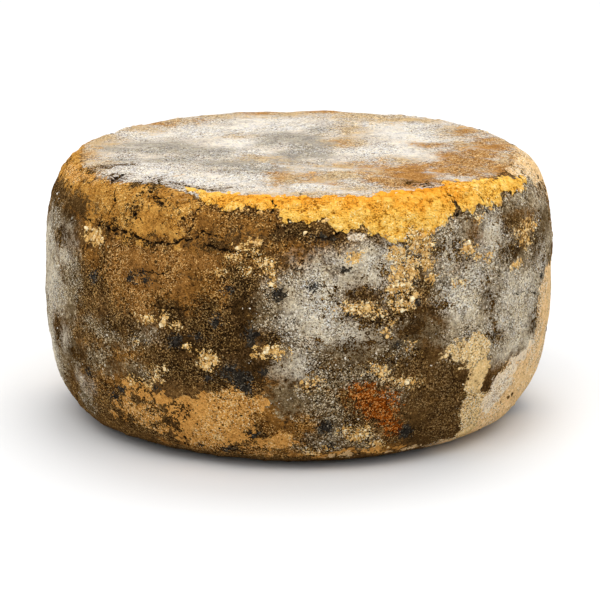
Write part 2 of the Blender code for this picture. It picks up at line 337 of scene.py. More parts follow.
# Each finish from its darkest pits to its lightest specks
TONES = {
    "umber": ((24, 14, 5), (67, 45, 21), (104, 75, 42), (136, 102, 60), (192, 154, 98)),
    "ochre_stain": ((43, 24, 8), (96, 61, 24), (132, 90, 42), (166, 118, 57), (220, 174, 108)),
    "brown_crust": ((66, 37, 10), (120, 79, 35), (150, 104, 52), (178, 129, 70), (226, 182, 120)),
    "ochre_crust": ((110, 66, 21), (168, 116, 50), (200, 145, 70), (224, 173, 92), (250, 214, 148)),
    "ash_mould": ((34, 23, 9), (80, 62, 38), (115, 96, 69), (151, 133, 105), (220, 204, 177)),
    # also the tones of the painted shade under the golden crust's edge
    "dark_mould": ((10, 6, 3), (34, 22, 9), (59, 41, 20), (88, 64, 35), (152, 121, 76)),
    "grey_mould": ((62, 46, 28), (133, 113, 85), (171, 154, 127), (204, 190, 167), (246, 239, 225)),
    "white_bloom": ((110, 92, 66), (191, 177, 154), (217, 206, 187), (236, 227, 211), (252, 248, 240)),
    "rust": ((60, 22, 2), (98, 46, 8), (132, 62, 11), (172, 90, 22), (216, 150, 82)),
    "bare_tan": ((92, 52, 15), (178, 120, 54), (220, 160, 84), (241, 190, 116), (255, 229, 178)),
    "pale_tan": ((124, 86, 48), (212, 167, 109), (241, 203, 149), (252, 224, 185), (255, 247, 227)),
    "cream_patch": ((96, 66, 30), (204, 164, 104), (233, 198, 140), (247, 220, 170), (255, 243, 214)),
    "pink_bloom": ((158, 128, 92), (224, 200, 168), (242, 221, 194), (250, 236, 213), (255, 249, 237)),
    "gold_flecks": ((60, 34, 8), (158, 108, 46), (214, 165, 90), (248, 215, 152), (255, 243, 208)),
    "golden_crust": ((146, 88, 20), (228, 164, 60), (251, 197, 92), (255, 216, 126), (255, 240, 184)),
    "orange_crust": ((146, 80, 16), (220, 140, 38), (242, 164, 52), (252, 188, 78), (255, 220, 142)),
    "top_film": ((98, 74, 52), (190, 176, 161), (212, 201, 189), (227, 218, 209), (250, 247, 242)),
    "white_film": ((122, 102, 82), (213, 204, 195), (228, 221, 214), (239, 234, 228), (252, 251, 249)),
    "grey_film": ((72, 60, 46), (147, 137, 124), (169, 161, 150), (188, 181, 171), (230, 226, 220)),
    "tan_film": ((106, 80, 52), (168, 139, 100), (197, 167, 126), (215, 190, 153), (240, 224, 194)),
    "toasted": ((84, 48, 18), (138, 90, 42), (172, 122, 66), (201, 155, 98), (238, 206, 156)),
    # painted shade inside the cracks, which the relief also sinks
    "crack": ((10, 6, 3), (20, 13, 7), (30, 20, 11), (42, 30, 18), (66, 50, 34)),
    # also the tones of the painted shade round the foot
    "brown_mould": ((34, 21, 7), (66, 44, 20), (88, 64, 34), (108, 81, 48), (162, 130, 86)),
    "blue_mould": ((12, 9, 7), (27, 23, 19), (43, 39, 34), (62, 57, 51), (112, 105, 95)),
}
TONE_STOPS = (0.03, 0.18, 0.50, 0.82, 0.97)  # the grain at which each of the five tones shows

# ---------------------------------------------------------------- nodes


class Field:
    """A value that a tree's nodes work out at each place. Sums, products and powers
    of fields add the Math nodes for them."""

    def __init__(self, socket):
        self.socket = socket
        self.tree = socket.id_data

    def __add__(self, other):
        return maths("ADD", self, other)

    def __sub__(self, other):
        return maths("SUBTRACT", self, other)

    def __rsub__(self, other):
        return maths("SUBTRACT", other, self)

    def __mul__(self, other):
        return maths("MULTIPLY", self, other)

    def __truediv__(self, other):
        return maths("DIVIDE", self, other)

    def __rtruediv__(self, other):
        return maths("DIVIDE", other, self)

    def __pow__(self, other):
        return maths("POWER", self, other)

    __radd__ = __add__
    __rmul__ = __mul__


def feed(socket, value):
    """Links a field to a socket, or sets a plain value on it."""
    if isinstance(value, Field):
        value.tree.links.new(value.socket, socket)
    else:
        socket.default_value = value


def add_node(tree, kind, inputs=None, **settings):
    node = tree.nodes.new(kind)
    for name, value in settings.items():
        setattr(node, name, value)
    for name, value in (inputs or {}).items():
        feed(node.inputs[name], value)
    return node


def field(tree, kind, inputs=None, output=0, **settings):
    """What comes out of a new node."""
    return Field(add_node(tree, kind, inputs, **settings).outputs[output])


def maths(operation, *values, clamp=False):
    """What a Math node makes of fields and plain numbers."""
    tree = next(value.tree for value in values if isinstance(value, Field))
    inputs = dict(enumerate(values))
    return field(tree, "ShaderNodeMath", inputs, operation=operation, use_clamp=clamp)


def ramp(value, low, high):
    """0 below low and 1 above high, with a smooth step between."""
    inputs = {"Value": value, "From Min": low, "From Max": high}
    return field(value.tree, "ShaderNodeMapRange", inputs, "Result", interpolation_type="SMOOTHSTEP")


def between(low, high, share):
    """The value a share of the way from low to high."""
    return (high - low) * share + low


def parts_of(vector):
    """A vector's x, y and z."""
    return [Field(part) for part in add_node(vector.tree, "ShaderNodeSeparateXYZ", {0: vector}).outputs]


def vector_of(tree, x=0.0, y=0.0, z=0.0):
    return field(tree, "ShaderNodeCombineXYZ", {"X": x, "Y": y, "Z": z})


SHIFT_HEADING = (1.0, 0.37, -0.61)  # the way a shift moves a noise's place


def elsewhere(place, shift):
    """The place moved far off, so that each noise shows a part of its own."""
    away = [shift * part for part in SHIFT_HEADING]
    return field(place.tree, "ShaderNodeVectorMath", {0: place, 1: away}, operation="ADD")


# Noises on the rind: the size of their widest lumps in mm and their shift, then
# their detail and roughness where they aren't the usual ones
NOISES = {
    "crack waver": (4.0, 6.1),
    "crack width": (2.5, 6.9),
    "broad lumps": (30.0, 7.7, 1.0),
    "lumps": (7.5, 8.3),
    "crumbs": (3.4, 9.1),
    "grain lumps": (8.0, 11.0, 3.0, 0.8),
    "grain clumps": (2.4, 15.0, 2.0, 1.0),
    "harshness": (22.0, 16.0, 2.0),
    "undercut_shade": (16.0, 31.0),
    "gold waver": (4.0, 41.0),
    "tuft clumps": (7.0, 43.0),
    "dark clumps": (14.0, 47.0),
}
# The sizes in mm and the shifts of the rind's specks, and of a crumb's
GRITS = (1.3, 12.0)
DUST = (0.46, 13.0)
CRUMB_DUST = (0.5, 3.0)

# Noise values crowd round a half. This spreads them, and more so if it is rough.
NOISE_GAIN = 8.0
SHARPER_GAIN = 0.9
ROUGH_FROM = 0.6


def wobble(place, size, shift, detail=4.0, roughness=0.55):
    """Noise whose widest lumps are of this size in mm: nine tenths of it is from -1 to 1."""
    inputs = {
        "Vector": elsewhere(place, shift),
        "Scale": 1 / (size * MM),
        "Detail": detail,
        "Roughness": roughness,
    }
    noise = field(place.tree, "ShaderNodeTexNoise", inputs)
    gain = NOISE_GAIN * (1 + SHARPER_GAIN * max(0.0, roughness - ROUGH_FROM))
    return noise * gain - gain / 2


def painted(tree, name, kind="FLOAT"):
    """What is painted on the rind under this name, for a shape's tree or a finish's."""
    if tree.type == "GEOMETRY":
        return field(tree, "GeometryNodeInputNamedAttribute", {"Name": name}, data_type=kind)
    return field(tree, "ShaderNodeAttribute", output="Fac", attribute_name=name)


# ---------------------------------------------------------------- the borders of patches

KNOB_SIZE = 5.5  # mm across a crust's lumps
KNOB_BENDS = 1.3  # how many times a lump's side bends along its length
KNOB_CREASE = 0.68  # how far from a lump's middle its crease lies, in lumps
KNOB_TOP = 0.2  # and how far its top reaches
KNOB_MELT = 0.3  # how smoothly one lump runs into the next
KNOB_REACH = 2.6  # mm: how far the knobs carry a knobbly crust's border out


def crust_knobs(place):
    """A crust's rounded lumps: 1 on their tops and 0 in the creases between them."""
    size = KNOB_SIZE * MM
    inputs = {"Vector": place, "Scale": KNOB_BENDS / size, "Detail": 1.0}
    bend = field(place.tree, "ShaderNodeTexNoise", inputs, "Color")
    inputs = {0: bend, 1: (size, size, size), 2: place}
    bent = field(place.tree, "ShaderNodeVectorMath", inputs, operation="MULTIPLY_ADD")
    inputs = {"Vector": bent, "Scale": 1 / size, "Smoothness": KNOB_MELT}
    cells = field(place.tree, "ShaderNodeTexVoronoi", inputs, "Distance", feature="SMOOTH_F1")
    return ramp(cells, KNOB_CREASE, KNOB_TOP)


def ragged(inside, edge, softness):
    """1 inside a patch and 0 outside it. Both are in mm, and edge moves its border."""
    return ramp(inside + edge, -softness, softness)


# How each crisp patch's border wavers, the same in its relief and in its colour:
# by lobes and by crumbs, each a size and a reach, then its softness, all in mm,
# and the noise's shift
BORDERS = {
    "golden_crust": ((9.0, 1.3), (2.8, 0.7), 0.25, 1.1),
    "ochre_crust": ((12.0, 3.0), (3.2, 1.8), 0.6, 2.3),
    "brown_crust": ((9.0, 3.0), (2.6, 2.0), 1.2, 2.9),
    "bare_tan": ((8.0, 1.8), (2.4, 1.2), 0.3, 3.7),
    "pale_tan": ((13.0, 3.0), (2.6, 1.3), 0.3, 4.1),
    "cream_patch": ((7.0, 1.3), (2.2, 1.0), 0.2, 4.9),
    "pink_bloom": ((7.0, 1.1), (2.2, 0.9), 0.4, 5.3),
}
CRUMB_SHIFT = 0.3  # from the lobes' noise to the crumbs'

CRACK_WAVER = 0.8  # mm that a crack wanders to either side
CRACK_HALF_WIDTH = 0.8  # mm for a crack of full strength
CRACK_STEADINESS = 0.9  # the share of its width that its narrowing leaves, on average
CRACK_LIP = 0.1  # mm beyond its side at which a crack starts


def border_cover(place, kind, knobs=None, wider=0.0):
    """1 on a crisp patch and 0 off it. Knobs carry its border out, and it may be some mm wider."""
    (lobe_size, lobe_reach), (crumb_size, crumb_reach), softness, shift = BORDERS[kind]
    inside = painted(place.tree, kind) + wider
    if knobs is not None:
        inside = knobs * KNOB_REACH + (inside - KNOB_REACH / 2)
    lobes = wobble(place, lobe_size, shift) * lobe_reach
    crumbs = wobble(place, crumb_size, shift + CRUMB_SHIFT) * crumb_reach
    return ragged(inside, lobes + crumbs, softness)


def crack_cover(place, softness):
    """1 along the middle of a crack, falling to 0 beside it over the softness in mm."""
    waver = wobble(place, *NOISES["crack waver"]) * CRACK_WAVER
    beside = maths("ABSOLUTE", painted(place.tree, "crack_side") + waver)
    narrowing = wobble(place, *NOISES["crack width"]) + CRACK_STEADINESS
    half_width = painted(place.tree, "crack_open") * narrowing * CRACK_HALF_WIDTH
    return ramp(half_width - beside, -CRACK_LIP, softness)


# ---------------------------------------------------------------- growing meshes


def new_geometry_tree(name, sizes):
    """A tree for a modifier and what it is given: a mesh, its named sizes and a finish."""
    tree = bpy.data.node_groups.new(name, "GeometryNodeTree")
    kinds = {"Geometry": "NodeSocketGeometry"}
    kinds.update({size: "NodeSocketFloat" for size in sizes})
    kinds["Finish"] = "NodeSocketMaterial"
    for label, kind in kinds.items():
        tree.interface.new_socket(label, in_out="INPUT", socket_type=kind)
    tree.interface.new_socket("Geometry", in_out="OUTPUT", socket_type="NodeSocketGeometry")
    sockets = tree.nodes.new("NodeGroupInput").outputs
    return tree, {label: Field(sockets[label]) for label in kinds}


def finish_tree(geometry, given):
    """Realises what the tree made, gives it the finish and sends it out."""
    tree = geometry.tree
    real = field(tree, "GeometryNodeRealizeInstances", {"Geometry": geometry})
    finished = field(tree, "GeometryNodeSetMaterial", {"Geometry": real, "Material": given["Finish"]})
    add_node(tree, "NodeGroupOutput", {"Geometry": finished})
    return tree


def grow(name, start_mesh, tree, sizes, finish):
    """Runs a tree on a mesh and returns the result as a plain mesh object."""
    seedling = bpy.data.objects.new(name + "_seedling", start_mesh)
    bpy.context.scene.collection.objects.link(seedling)
    modifier = seedling.modifiers.new("grow", "NODES")
    modifier.node_group = tree
    values = {**sizes, "Finish": finish}
    for item in tree.interface.items_tree:
        if item.in_out == "INPUT" and item.name in values:
            modifier[item.identifier] = values[item.name]
    bpy.context.view_layer.update()
    graph = bpy.context.evaluated_depsgraph_get()
    mesh = bpy.data.meshes.new_from_object(seedling.evaluated_get(graph), depsgraph=graph)
    seedling.modifiers.remove(modifier)
    bpy.data.objects.remove(seedling)
    mesh.name = name
    piece = bpy.data.objects.new(name, mesh)
    bpy.context.scene.collection.objects.link(piece)
    mesh.shade_smooth()
    return piece


def keep(geometry, name, value, kind="FLOAT"):
    """Stores a value on the points under this name."""
    inputs = {"Geometry": geometry, "Name": name, "Value": value}
    return field(geometry.tree, "GeometryNodeStoreNamedAttribute", inputs, data_type=kind)


def position(tree):
    return field(tree, "GeometryNodeInputPosition")


def put(geometry, place):
    """Moves each point to its place."""
    inputs = {"Geometry": geometry, "Position": place}
    return field(geometry.tree, "GeometryNodeSetPosition", inputs)


# ---------------------------------------------------------------- the turned wheel


def rounding(fraction, across, up):
    """How far out and how far up a superellipse's quarter is, each 0 to 1, a
    fraction of the way from its upright end to its level end."""
    turn = fraction * (math.pi / 2)
    cosine = maths("MAXIMUM", maths("COSINE", turn), 0.0)
    sine = maths("MAXIMUM", maths("SINE", turn), 0.0)
    return cosine ** (2.0 / across), sine ** (2.0 / up)


def profile_curve(tree, given):
    """The wheel's outline in the XZ plane, from the edge of the foot to the edge of the top."""
    line = field(tree, "GeometryNodeCurvePrimitiveLine")
    curve = field(tree, "GeometryNodeResampleCurve", {"Curve": line, "Count": PROFILE_POINTS})
    along = field(tree, "GeometryNodeSplineParameter", output="Factor")
    in_belly = maths("MULTIPLY_ADD", along, -2.0, 1.0, clamp=True)
    in_shoulder = maths("MULTIPLY_ADD", along, 2.0, -1.0, clamp=True)
    belly = given["Belly squareness across"], given["Belly squareness up"]
    shoulder = given["Shoulder squareness across"], given["Shoulder squareness up"]
    belly_out, belly_down = rounding(in_belly, *belly)
    shoulder_out, shoulder_up = rounding(in_shoulder, *shoulder)
    widest, ring = given["Widest radius"], given["Widest ring height"]
    belly_radius = between(given["Foot flat radius"], widest, belly_out)
    shoulder_radius = between(given["Top flat radius"], widest, shoulder_out)
    shoulder_height = between(ring, given["Height"], shoulder_up)
    upper = maths("GREATER_THAN", along, 0.5)
    radius = between(belly_radius, shoulder_radius, upper)
    height = between(ring * (1.0 - belly_down), shoulder_height, upper)
    return put(curve, vector_of(tree, x=radius, z=height))


def square_to_round(x, y):
    """A square's points as rings: how far out each lies, 0 to 1, and its angle from +X."""
    wide = maths("ABSOLUTE", x)
    deep = maths("ABSOLUTE", y)
    eighth = math.pi / 4
    behind = maths("LESS_THAN", x, 0.0) * math.pi
    below = maths("LESS_THAN", y, 0.0) * math.pi
    across = y / x * eighth + behind
    along = x / y * -eighth + below + math.pi / 2
    sideways = maths("GREATER_THAN", wide, deep)
    return maths("MAXIMUM", wide, deep), between(along, across, sideways)


BLOCK_BOTTOM = -0.9999  # of a block that reaches from -1 to 1


def block_with_foot(tree):
    """A block of fine squares, 2 across, open below for one flat round plate."""
    inputs = {
        "Size": (2, 2, 2),
        "Vertices X": STEPS_ACROSS + 1,
        "Vertices Y": STEPS_ACROSS + 1,
        "Vertices Z": STEPS_UP + 1,
    }
    block = field(tree, "GeometryNodeMeshCube", inputs)
    underside = maths("LESS_THAN", parts_of(position(tree))[2], BLOCK_BOTTOM)
    inputs = {"Geometry": block, "Selection": underside}
    return field(tree, "GeometryNodeDeleteGeometry", inputs, domain="FACE")


def foot_plate(tree, given):
    inputs = {"Vertices": 4 * STEPS_ACROSS, "Radius": given["Foot flat radius"]}
    plate = field(tree, "GeometryNodeMeshCircle", inputs, fill_type="NGON")
    flipped = field(tree, "GeometryNodeFlipFaces", {"Mesh": plate})
    return keep(flipped, "climb", -100 * TUCK_LENGTH / SIDE_LENGTH)


def steps_to_length(step):
    """Spaces the steps up evenly by length, but wider apart under the wheel."""
    tuck = TUCK_LENGTH / (TUCK_LENGTH + SIDE_LENGTH)
    slope = (1 - tuck) / (1 - TUCK_STEPS)
    return maths("MINIMUM", step * (tuck / TUCK_STEPS), step * slope + (1 - slope))


def turn_block(block, given):
    """Turns the block into the wheel: its height becomes the way up the profile."""
    tree = block.tree
    x, y, z = parts_of(position(tree))
    out, angle = square_to_round(x, y)
    up = steps_to_length(z * 0.5 + 0.5)
    inputs = {"Curves": profile_curve(tree, given), "Factor": up}
    sampling = {"mode": "FACTOR", "use_all_curves": True}
    outline = field(tree, "GeometryNodeSampleCurve", inputs, "Position", **sampling)
    profile_radius, _, height = parts_of(outline)
    radius = profile_radius * out
    over_top = (1.0 - out) * TOP_FLAT_RADIUS
    passed = up * (TUCK_LENGTH + SIDE_LENGTH) + over_top - TUCK_LENGTH
    marked = keep(block, "climb", passed * (100 / SIDE_LENGTH))
    across, deep = radius * maths("COSINE", angle), radius * maths("SINE", angle)
    return put(marked, vector_of(tree, across, deep, height))


def side_swell(angle, up):
    """How far the side stands out of the turned shape, in metres."""
    swells = []
    for depth, waves, phase, turn in SIDE_SWELLS:
        start = up * math.radians(turn) + math.radians(phase)
        swells.append(maths("COSINE", angle * waves + start) * depth)
    return sum(swells)


def top_swell(x, y):
    """How far the top stands above its level height, in metres."""
    swells = []
    for depth, waves, heading in TOP_SWELLS:
        across = y * math.sin(math.radians(heading)) + x * math.cos(math.radians(heading))
        swells.append(maths("SINE", across * (math.pi * waves / WIDEST_RADIUS)) * depth)
    return sum(swells)


def make_uneven(geometry, given):
    """The lean and the long swells that a hand-made cheese has."""
    x, y, z = parts_of(position(geometry.tree))
    up = z / given["Height"]
    radius = maths("SQRT", x * x + y * y)
    share = maths("MINIMUM", radius / given["Top flat radius"], 1.0)
    swell = side_swell(maths("ARCTAN2", y, x), up) * share
    growth = swell / given["Widest radius"] + 1.0
    x, y = x * growth, y * growth
    z = z + top_swell(x, y) * up**2.0
    x = (z - given["Widest ring height"]) * given["Lean"] + x
    return put(geometry, vector_of(geometry.tree, x, y, z))


def turned_wheel_tree(sizes):
    tree, given = new_geometry_tree("turned wheel", sizes)
    wheel = turn_block(block_with_foot(tree), given)
    joined = add_node(tree, "GeometryNodeJoinGeometry", {0: wheel})
    feed(joined.inputs[0], foot_plate(tree, given))
    inputs = {"Geometry": Field(joined.outputs[0]), "Distance": WELD_DISTANCE}
    welded = field(tree, "GeometryNodeMergeByDistance", inputs)
    return finish_tree(make_uneven(welded, given), given)


# ---------------------------------------------------------------- painting

BACK_BEARINGS = 80  # degrees to either side of the front whose patches come back behind
BACK_CLIMBS = 88  # and the climb up to which they do
BACK_TURN = 4  # degrees that each may move round there
BACK_LIFT = 2  # and up or down, in climb
CRACK_REACH = 5  # mm beyond its end or its side over which a crack closes


def read_points(mesh, name):
    values = np.empty(len(mesh.vertices), np.float32)
    mesh.attributes[name].data.foreach_get("value", values)
    return values.astype(float)


def paint(mesh, name, values):
    layer = mesh.attributes.new(name, "FLOAT", "POINT")
    layer.data.foreach_set("value", values.astype(np.float32))


class Places:
    """Where each point of the rind lies, unrolled in two ways and in mm: along
    the side, and across the top with the side folded out round it."""

    def __init__(self, mesh):
        points = np.empty(3 * len(mesh.vertices), np.float32)
        mesh.vertices.foreach_get("co", points)
        x, y, _ = points.reshape(-1, 3).T.astype(float)
        self.climb = read_points(mesh, "climb")
        self.bearing = np.degrees(np.arctan2(x, -y))
        side_out = (100 - self.climb) * CLIMB_MM + TOP_FLAT_RADIUS / MM
        turn = np.radians(self.bearing)
        self.top_x = side_out * np.sin(turn)
        self.top_y = -side_out * np.cos(turn)

    def beside(self, bearing):
        """The way round to a bearing in mm, by the shorter way."""
        return ((self.bearing - bearing + 180) % 360 - 180) * ROUND_MM

    def above(self, climb):
        return (self.climb - climb) * CLIMB_MM


def inside_oval(across, up, half_width, half_height):
    """How far inside an oval each place is, in mm, and below 0 outside it."""
    ring = np.hypot(across / half_width, up / half_height)
    return (1 - ring) * min(half_width, half_height)


def round_the_back(patches, seed):
    """The front's patches again on the far side, each moved about a little."""
    shuffle = random.Random(seed)
    moved = []
    for bearing, climb, half_width, half_height in patches:
        if abs(bearing) < BACK_BEARINGS and climb < BACK_CLIMBS:
            bearing += 180 + shuffle.uniform(-BACK_TURN, BACK_TURN)
            climb += shuffle.uniform(-BACK_LIFT, BACK_LIFT)
            moved.append((bearing, climb, half_width, half_height))
    return moved


def inside_patches(places, kind):
    """How far inside the nearest patch of a kind each place is, in mm."""
    inside = np.full(len(places.climb), -PATCH_REACH)
    front = SIDE_PATCHES.get(kind, ())
    for bearing, climb, half_width, half_height in [*front, *round_the_back(front, len(kind))]:
        across, up = places.beside(bearing), places.above(climb)
        oval = inside_oval(across, up, half_width * ROUND_MM, half_height * CLIMB_MM)
        inside = np.maximum(inside, oval)
    for x, y, half_width, half_depth in TOP_PATCHES.get(kind, ()):
        across, up = places.top_x - x * TOP_MM, places.top_y - y * TOP_MM
        oval = inside_oval(across, up, half_width * TOP_MM, half_depth * TOP_MM)
        inside = np.maximum(inside, oval)
    return np.clip(inside, -PATCH_REACH, PATCH_REACH)


def above_edge(places, edge):
    """How far up past an edge round the wheel each place is, in mm."""
    return places.above(np.interp(places.bearing, *zip(*edge)))


def inside_golden_band(places):
    start = np.interp(places.bearing, *zip(*GOLDEN_START)) * TOP_MM
    past_start = np.hypot(places.top_x, places.top_y) - start
    inside = np.minimum(above_edge(places, GOLDEN_EDGE), past_start)
    return np.clip(inside, -PATCH_REACH, PATCH_REACH)


def nearest_crack(across, up, corners):
    """Each place's distance in mm to a crack, and on which side of it."""
    nearest = np.full(len(across), np.inf)
    signed = np.zeros(len(across))
    for (x0, y0), (x1, y1) in zip(corners, corners[1:]):
        run, rise = x1 - x0, y1 - y0
        length = math.hypot(run, rise)
        along = ((across - x0) * run + (up - y0) * rise) / length**2
        along = np.clip(along, 0, 1)
        distance = np.hypot(across - x0 - along * run, up - y0 - along * rise)
        side = ((across - x0) * rise - (up - y0) * run) / length
        closer = distance < nearest
        nearest[closer] = distance[closer]
        signed[closer] = side[closer]
    return nearest, signed


def measured_cracks(places):
    """Each crack's strength, the places unrolled its way, and its corners in mm."""
    side = places.beside(0), places.above(0)
    top = places.top_x, places.top_y
    for cracks, (across, up), wide, high in (
        (SIDE_CRACKS, side, ROUND_MM, CLIMB_MM),
        (TOP_CRACKS, top, TOP_MM, TOP_MM),
    ):
        for strength, corners in cracks:
            yield strength, across, up, [(x * wide, y * high) for x, y in corners]


def paint_cracks(mesh, places):
    """Stores how far to the side of the nearest crack each point is, and how open it is."""
    best = np.full(len(places.climb), PATCH_REACH)
    side = np.full(len(places.climb), PATCH_REACH)
    open_share = np.zeros(len(places.climb))
    for strength, across, up, corners in measured_cracks(places):
        nearest, signed = nearest_crack(across, up, corners)
        closer = nearest < best
        best[closer] = nearest[closer]
        side[closer] = signed[closer]
        open_share[closer] = strength * np.clip(1 - nearest[closer] / CRACK_REACH, 0, 1)
    paint(mesh, "crack_side", side)
    paint(mesh, "crack_open", open_share)


def paint_rind(mesh):
    places = Places(mesh)
    for kind in sorted({*SIDE_PATCHES, *TOP_PATCHES}):
        paint(mesh, kind, inside_patches(places, kind))
    paint(mesh, "golden_crust", inside_golden_band(places))
    paint(mesh, "top_film", np.clip(above_edge(places, FILM_EDGE), -PATCH_REACH, PATCH_REACH))
    paint_cracks(mesh, places)
    return places


# ---------------------------------------------------------------- weathering

# What each weathered part of the rind adds to it or takes off it, in mm
WEATHERING = {
    "Broad lumps": 0.4,
    "Lumps": 0.24,
    "Crumbs": 0.16,
    "Golden crust": 0.7,
    "Ochre crust": 0.45,
    "Bare patch": -0.5,
    "Cream patch": 0.4,
    "Crack": -1.6,
}
SMOOTHED = 0.7  # how much less lumpy the bare places and the top are
FILM_FADE = 4.0  # mm: how softly the top's smoothness sets in
GROOVE_FADE = 1.0  # mm: how softly a crack's sides fall
GOLDEN_BED = 0.4  # a crust's thickness in its creases, where its knobs are 1 high
OCHRE_BED = 0.6
FOOT_FADE = (-5.0, 3.0)  # the climb over which the weathering sets in


def relief_in_mm(place, given):
    """How far each place stands out of the turned wheel."""
    tree = place.tree
    broad = wobble(place, *NOISES["broad lumps"]) * given["Broad lumps"]
    lumps = wobble(place, *NOISES["lumps"]) * given["Lumps"]
    crumbs = wobble(place, *NOISES["crumbs"]) * given["Crumbs"]
    knobs = crust_knobs(place)
    golden = border_cover(place, "golden_crust", knobs)
    ochre = border_cover(place, "ochre_crust", knobs)
    bare = maths("MAXIMUM", border_cover(place, "bare_tan"), border_cover(place, "pale_tan"))
    cream = border_cover(place, "cream_patch")
    smooth = maths("MAXIMUM", bare, ragged(painted(tree, "top_film"), 0.0, FILM_FADE))
    relief = broad + (lumps + crumbs) * (1.0 - smooth * SMOOTHED)
    relief = relief + golden * (knobs + GOLDEN_BED) * given["Golden crust"]
    relief = relief + ochre * (knobs + OCHRE_BED) * given["Ochre crust"]
    relief = relief + bare * given["Bare patch"] + cream * given["Cream patch"]
    groove = crack_cover(place, GROOVE_FADE) * painted(tree, "crack_open")
    return relief + groove * given["Crack"]


def weathered_rind_tree(sizes):
    """Raises and sinks the painted wheel along its normals. The sizes are in mm."""
    tree, given = new_geometry_tree("weathered rind", sizes)
    place = position(tree)
    marked = keep(given["Geometry"], "turned_place", place, "FLOAT_VECTOR")
    off_foot = ramp(painted(tree, "climb"), *FOOT_FADE)
    height = relief_in_mm(place, given) * MM * off_foot
    normal = field(tree, "GeometryNodeInputNormal")
    offset = field(tree, "ShaderNodeVectorMath", {0: normal, "Scale": height}, operation="SCALE")
    inputs = {"Geometry": marked, "Offset": offset}
    return finish_tree(field(tree, "GeometryNodeSetPosition", inputs), given)


# ---------------------------------------------------------------- crumbs and spots

CRUMB_SHAPES = 5
SHAPE_LUMPS = 1.8  # noise lumps across a crumb
SHAPE_STEPS = (7.3, -4.1)  # from one shape's noise to the next's, along x and z
SHAPE_START = 1.9  # and where in it they all are along y


def chance(tree, low, high, seed):
    """A random number from low to high for each crumb."""
    inputs = {2: low, 3: high, "Seed": seed}
    return field(tree, "FunctionNodeRandomValue", inputs, 1)


def crumb_shapes(tree, fineness, roundness):
    """Some knobbly lumps, each about one unit across, to pick from."""
    picked = tree.nodes.new("GeometryNodeGeometryToInstance")
    place = position(tree)
    deep = 1 - roundness
    for number in range(CRUMB_SHAPES):
        ball = field(tree, "GeometryNodeMeshIcoSphere", {"Radius": 0.5, "Subdivisions": fineness})
        inputs = {0: place, 1: (SHAPE_STEPS[0] * number, SHAPE_START, SHAPE_STEPS[1] * number)}
        moved = field(tree, "ShaderNodeVectorMath", inputs, operation="ADD")
        inputs = {"Vector": moved, "Scale": SHAPE_LUMPS, "Detail": 1.0}
        dent = field(tree, "ShaderNodeTexNoise", inputs, "Color")
        inputs = {0: dent, 1: (2 * deep,) * 3, 2: (-deep,) * 3}
        push = field(tree, "ShaderNodeVectorMath", inputs, operation="MULTIPLY_ADD")
        lump = field(tree, "GeometryNodeSetPosition", {"Geometry": ball, "Offset": push})
        feed(picked.inputs[0], lump)
    return Field(picked.outputs[0])


def set_crumbs(points, shapes, turn, size, seed):
    """A crumb of random shape on each point, marked with a random tone."""
    tree = shapes.tree
    inputs = {4: 0, 5: CRUMB_SHAPES - 1, "Seed": seed}
    pick = field(tree, "FunctionNodeRandomValue", inputs, 2, data_type="INT")
    inputs = {
        "Points": points,
        "Instance": shapes,
        "Pick Instance": True,
        "Instance Index": pick,
        "Rotation": turn,
        "Scale": size,
    }
    crumbs = field(tree, "GeometryNodeInstanceOnPoints", inputs)
    inputs = {"Geometry": crumbs, "Name": "tone", "Value": chance(tree, 0.0, 1.0, seed + 1)}
    marking = {"data_type": "FLOAT", "domain": "INSTANCE"}
    return field(tree, "GeometryNodeStoreNamedAttribute", inputs, **marking)


GOLD_WAVER = 0.8  # mm
FLECK_SOFTNESS = 0.6  # mm
CRUST_EDGE = (1.6, 0.4)  # mm from the golden crust's edge over which crumbs set in
CRUST_EDGE_CLIMB = (92.0, 88.0)  # and the climb down which they do
CRUST_EDGE_SHARE = 0.3  # how thick they lie there, beside the flecks


def gold_ground(tree, place):
    """Crumbs of crust lie thick on the flecks and thinly along the golden crust's edge."""
    waver = wobble(place, *NOISES["gold waver"]) * GOLD_WAVER
    flecks = ragged(painted(tree, "gold_flecks"), waver, FLECK_SOFTNESS)
    edge = maths("ABSOLUTE", painted(tree, "golden_crust") + waver)
    below = ramp(painted(tree, "climb"), *CRUST_EDGE_CLIMB)
    return maths("MAXIMUM", flecks, ramp(edge, *CRUST_EDGE) * below * CRUST_EDGE_SHARE)


# Where tufts stand: the mould, its border's softness in mm and how thick they are there
TUFTED = (
    ("white_bloom", 1.5, 0.9),
    ("grey_mould", 2.0, 0.7),
    ("ash_mould", 2.0, 0.5),
)
TUFT_CLUMPS = (-0.3, 0.9)  # the noise over which their clumps set in
OFF_THE_TOP = (-1.0, -3.0)  # mm below the film's edge over which they do


def tuft_ground(tree, place):
    """Tufts of mould stand thickest on the white blooms and thinner on the greys."""
    thickest = 0.0
    for kind, softness, share in TUFTED:
        tufts = ramp(painted(tree, kind), -softness, softness) * share
        thickest = maths("MAXIMUM", tufts, thickest)
    clumps = ramp(wobble(place, *NOISES["tuft clumps"]), *TUFT_CLUMPS)
    return thickest * clumps * ramp(painted(tree, "top_film"), *OFF_THE_TOP)


DARK_CLUMPS = (0.1, 0.9)  # the noise over which clumps of dark crumbs set in
DARK_SOFTNESS = 1.0  # mm


def dark_ground(tree, place):
    """Dark crumbs lie thinly on the bare and crusted places, in loose clumps."""
    bare = maths("MAXIMUM", painted(tree, "bare_tan"), painted(tree, "ochre_crust"))
    bare = maths("MAXIMUM", bare, painted(tree, "brown_crust"))
    clumps = ramp(wobble(place, *NOISES["dark clumps"]), *DARK_CLUMPS)
    return ramp(bare, -DARK_SOFTNESS, DARK_SOFTNESS) * clumps


